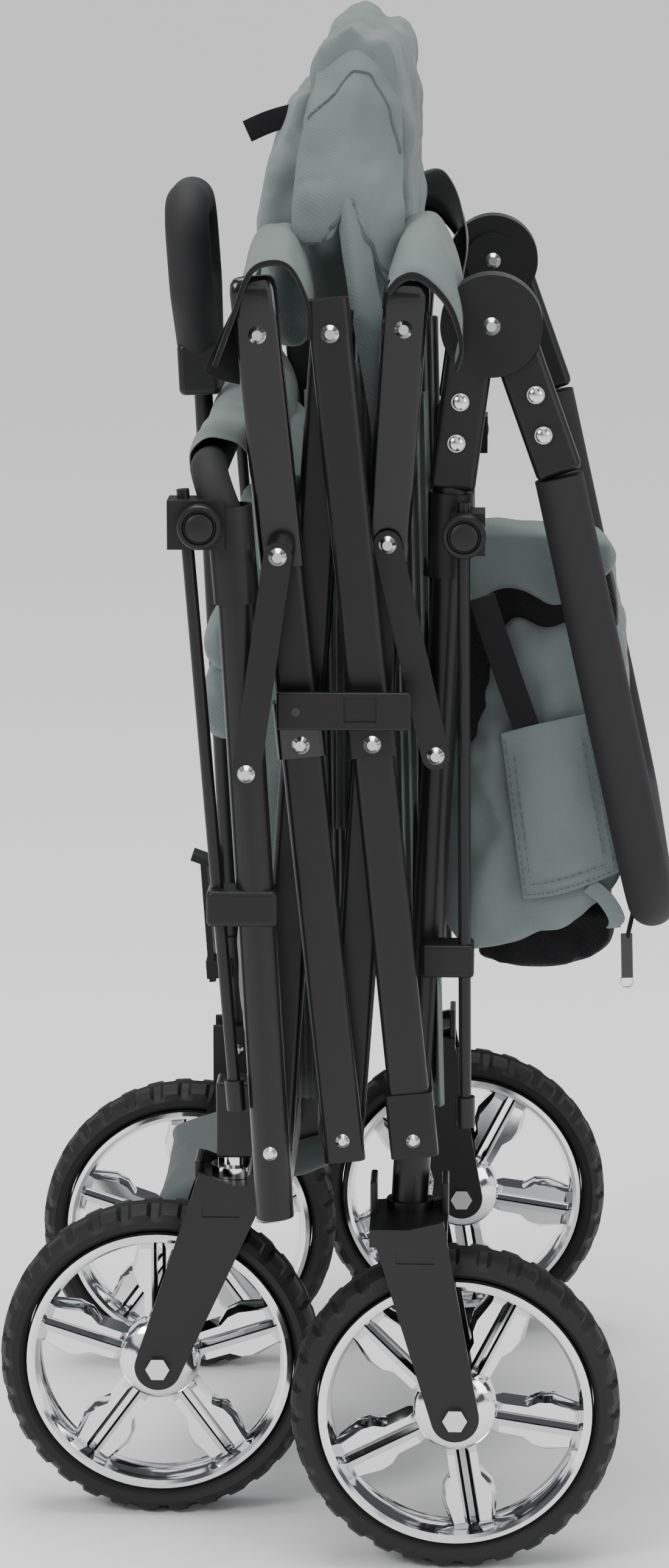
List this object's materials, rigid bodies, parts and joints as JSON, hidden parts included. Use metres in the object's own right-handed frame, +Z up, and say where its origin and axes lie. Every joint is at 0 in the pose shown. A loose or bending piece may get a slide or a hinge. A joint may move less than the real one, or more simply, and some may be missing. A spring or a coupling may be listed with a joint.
{
  "type": "pet stroller",
  "caption": "Folding wagon-style pet stroller, stored folded: crossed side struts, spoked wheels, swivel casters, canopy rods, rear bag, push and pull handles.",
  "frame": {"origin": "bottom centre of the bounding box, on the floor between the wheels", "axes": "+X to the rear push handle, -Y to the near side, +Z up"},
  "size_m": [0.5015, 0.718, 1.1037],
  "materials": {
    "frame_black": "matt black powder coat",
    "black_plastic": "fine satin moulding",
    "gloss_black": "glossy moulding",
    "foam": "closed-cell foam",
    "tyre": "moulded tread",
    "chrome": "bright plated",
    "nickel": "domed and polished",
    "fabric_grey": "twill weave",
    "mesh_black": "knitted mesh"
  },
  "bodies": {
    "rear_frame": {"rear_posts": "frame_black", "rear_rod_fittings": "black_plastic", "rear_forks": "frame_black", "rear_axles": "nickel", "hinge_lower_halves": "black_plastic", "hinge_arm_rivets": "nickel", "rear_bag": "fabric_grey", "bag_base_pocket": "mesh_black", "zip_pull": "nickel", "side_panels": "fabric_grey"},
    "rear_outer_struts": {"rear_outer_struts": "frame_black", "rear_outer_fittings": "black_plastic", "crossing_pins_rear": "nickel"},
    "rear_inner_struts": {"rear_inner_struts": "frame_black", "rear_inner_caps": "gloss_black", "strut_top_pins": "nickel"},
    "front_inner_struts": {"front_inner_struts": "frame_black", "front_foot_pins": "nickel"},
    "front_outer_struts": {"front_outer_struts": "frame_black", "front_outer_fittings": "gloss_black", "crossing_pins_front": "nickel"},
    "front_frame": {"front_posts": "frame_black", "front_rod_fittings": "black_plastic", "front_top_bar": "foam", "front_beam": "frame_black", "front_frame_bolts": "chrome", "pull_bracket": "frame_black", "foot_board": "fabric_grey", "front_panel": "fabric_grey", "canopy_bundle": "fabric_grey"},
    "front_links": {"front_links": "frame_black", "front_link_rivets": "nickel"},
    "rear_links": {"rear_links": "frame_black", "rear_link_rivets": "nickel"},
    "pull_handle": {"pull_shaft": "frame_black", "pull_grip": "foam", "pull_keeper": "black_plastic"},
    "canopy_rods_front": {"canopy_rods_front": "frame_black"},
    "canopy_rods_rear": {"canopy_rods_rear": "frame_black"},
    "push_handle": {"hinge_upper_halves": "black_plastic", "push_handle_foam": "foam", "handle_rivets": "nickel"},
    "lock_clip_near": {"lock_clip_near": "black_plastic"},
    "clamp_knob_front_near": {"clamp_knob_front_near": "black_plastic"},
    "clamp_knob_rear_near": {"clamp_knob_rear_near": "black_plastic"},
    "caster_near": {"caster_fork_near": "frame_black", "front_axle_near": "nickel"},
    "front_wheel_near": {"tyre_front_near": "tyre", "rim_front_near": "chrome"},
    "rear_wheel_near": {"tyre_rear_near": "tyre", "rim_rear_near": "chrome"},
    "lock_clip_far": {"lock_clip_far": "black_plastic"},
    "clamp_knob_front_far": {"clamp_knob_front_far": "black_plastic"},
    "clamp_knob_rear_far": {"clamp_knob_rear_far": "black_plastic"},
    "caster_far": {"caster_fork_far": "frame_black", "front_axle_far": "nickel"},
    "front_wheel_far": {"tyre_front_far": "tyre", "rim_front_far": "chrome"},
    "rear_wheel_far": {"tyre_rear_far": "tyre", "rim_rear_far": "chrome"}
  },
  "joints": [
    {"name": "fold", "type": "hinge", "parent": "rear_frame", "child": "rear_outer_struts", "pos_m": [0.0611, 0, 0.3287], "axis": [0, -1, 0], "range_deg": [0, 53.14]},
    {"name": "rear_crossing", "type": "hinge", "parent": "rear_outer_struts", "child": "rear_inner_struts", "pos_m": [0.03149, 0, 0.61718], "axis": [0, 1, 0], "range_deg": [0, 108.05]},
    {"name": "middle_top", "type": "hinge", "parent": "rear_outer_struts", "child": "front_inner_struts", "pos_m": [0.00188, 0, 0.90567], "axis": [0, 1, 0], "range_deg": [0, 108.05]},
    {"name": "front_crossing", "type": "hinge", "parent": "front_inner_struts", "child": "front_outer_struts", "pos_m": [-0.01885, 0, 0.61641], "axis": [0, -1, 0], "range_deg": [0, 108.05]},
    {"name": "front_foot", "type": "hinge", "parent": "front_inner_struts", "child": "front_frame", "pos_m": [-0.03959, 0, 0.32715], "axis": [0, -1, 0], "range_deg": [0, 54.91]},
    {"name": "front_link_foot", "type": "hinge", "parent": "front_frame", "child": "front_links", "pos_m": [-0.05545, 0, 0.6023], "axis": [0, 1, 0], "range_deg": [0, 102.11]},
    {"name": "rear_link_foot", "type": "hinge", "parent": "rear_frame", "child": "rear_links", "pos_m": [0.07587, 0, 0.60591], "axis": [0, -1, 0], "range_deg": [0, 98.41]},
    {"name": "pull_handle_swing", "type": "hinge", "parent": "front_frame", "child": "pull_handle", "pos_m": [-0.081, 0, 0.317], "axis": [0, -1, 0], "range_deg": [0, 90]},
    {"name": "push_handle_fold", "type": "hinge", "parent": "rear_frame", "child": "push_handle", "pos_m": [0.1132, 0, 0.9067], "axis": [0, -1, 0], "range_deg": [0, 150]},
    {"name": "front_rod_slide", "type": "slide", "parent": "front_frame", "child": "canopy_rods_front", "axis": [-0.0797, 0, 0.9968], "range_m": [0, 0.11]},
    {"name": "rear_rod_slide", "type": "slide", "parent": "rear_frame", "child": "canopy_rods_rear", "axis": [-0.0077, 0, 1], "range_m": [0, 0.085]},
    {"name": "lock_clip_swing_near", "type": "hinge", "parent": "front_outer_struts", "child": "lock_clip_near", "pos_m": [-0.0215, -0.3265, 0.6435], "axis": [0, -1, 0], "range_deg": [0, 90]},
    {"name": "clamp_knob_front_near_turn", "type": "hinge", "parent": "front_frame", "child": "clamp_knob_front_near", "pos_m": [-0.0865, -0.345, 0.777], "axis": [0, 1, 0], "range_deg": [0, 180]},
    {"name": "clamp_knob_rear_near_turn", "type": "hinge", "parent": "rear_frame", "child": "clamp_knob_rear_near", "pos_m": [0.095, -0.289, 0.763], "axis": [0, 1, 0], "range_deg": [0, 180]},
    {"name": "caster_swivel_near", "type": "hinge", "parent": "front_frame", "child": "caster_near", "pos_m": [-0.075, -0.1696, 0.262], "axis": [0, 0, 1], "range_deg": [-25, 25]},
    {"name": "front_wheel_spin_near", "type": "hinge", "parent": "caster_near", "child": "front_wheel_near", "pos_m": [-0.131, -0.1696, 0.12], "axis": [0, 1, 0], "continuous": true},
    {"name": "rear_wheel_spin_near", "type": "hinge", "parent": "rear_frame", "child": "rear_wheel_near", "pos_m": [0.092, -0.2774, 0.12], "axis": [0, 1, 0], "continuous": true},
    {"name": "lock_clip_swing_far", "type": "hinge", "parent": "front_outer_struts", "child": "lock_clip_far", "pos_m": [-0.0215, 0.3265, 0.6435], "axis": [0, -1, 0], "range_deg": [0, 90]},
    {"name": "clamp_knob_front_far_turn", "type": "hinge", "parent": "front_frame", "child": "clamp_knob_front_far", "pos_m": [-0.0865, 0.345, 0.777], "axis": [0, 1, 0], "range_deg": [0, 180]},
    {"name": "clamp_knob_rear_far_turn", "type": "hinge", "parent": "rear_frame", "child": "clamp_knob_rear_far", "pos_m": [0.095, 0.289, 0.763], "axis": [0, 1, 0], "range_deg": [0, 180]},
    {"name": "caster_swivel_far", "type": "hinge", "parent": "front_frame", "child": "caster_far", "pos_m": [-0.075, 0.1696, 0.262], "axis": [0, 0, 1], "range_deg": [-25, 25]},
    {"name": "front_wheel_spin_far", "type": "hinge", "parent": "caster_far", "child": "front_wheel_far", "pos_m": [-0.131, 0.1696, 0.12], "axis": [0, 1, 0], "continuous": true},
    {"name": "rear_wheel_spin_far", "type": "hinge", "parent": "rear_frame", "child": "rear_wheel_far", "pos_m": [0.092, 0.2774, 0.12], "axis": [0, 1, 0], "continuous": true}
  ],
  "couplings": [
    {"joint": "rear_crossing", "follows": "fold", "ratio": 2.0331},
    {"joint": "middle_top", "follows": "fold", "ratio": 2.0331},
    {"joint": "front_crossing", "follows": "fold", "ratio": 2.0331},
    {"joint": "front_foot", "follows": "fold", "ratio": 1.0331},
    {"joint": "front_link_foot", "follows": "fold", "ratio": 1.9214},
    {"joint": "rear_link_foot", "follows": "fold", "ratio": 1.8517}
  ]
}
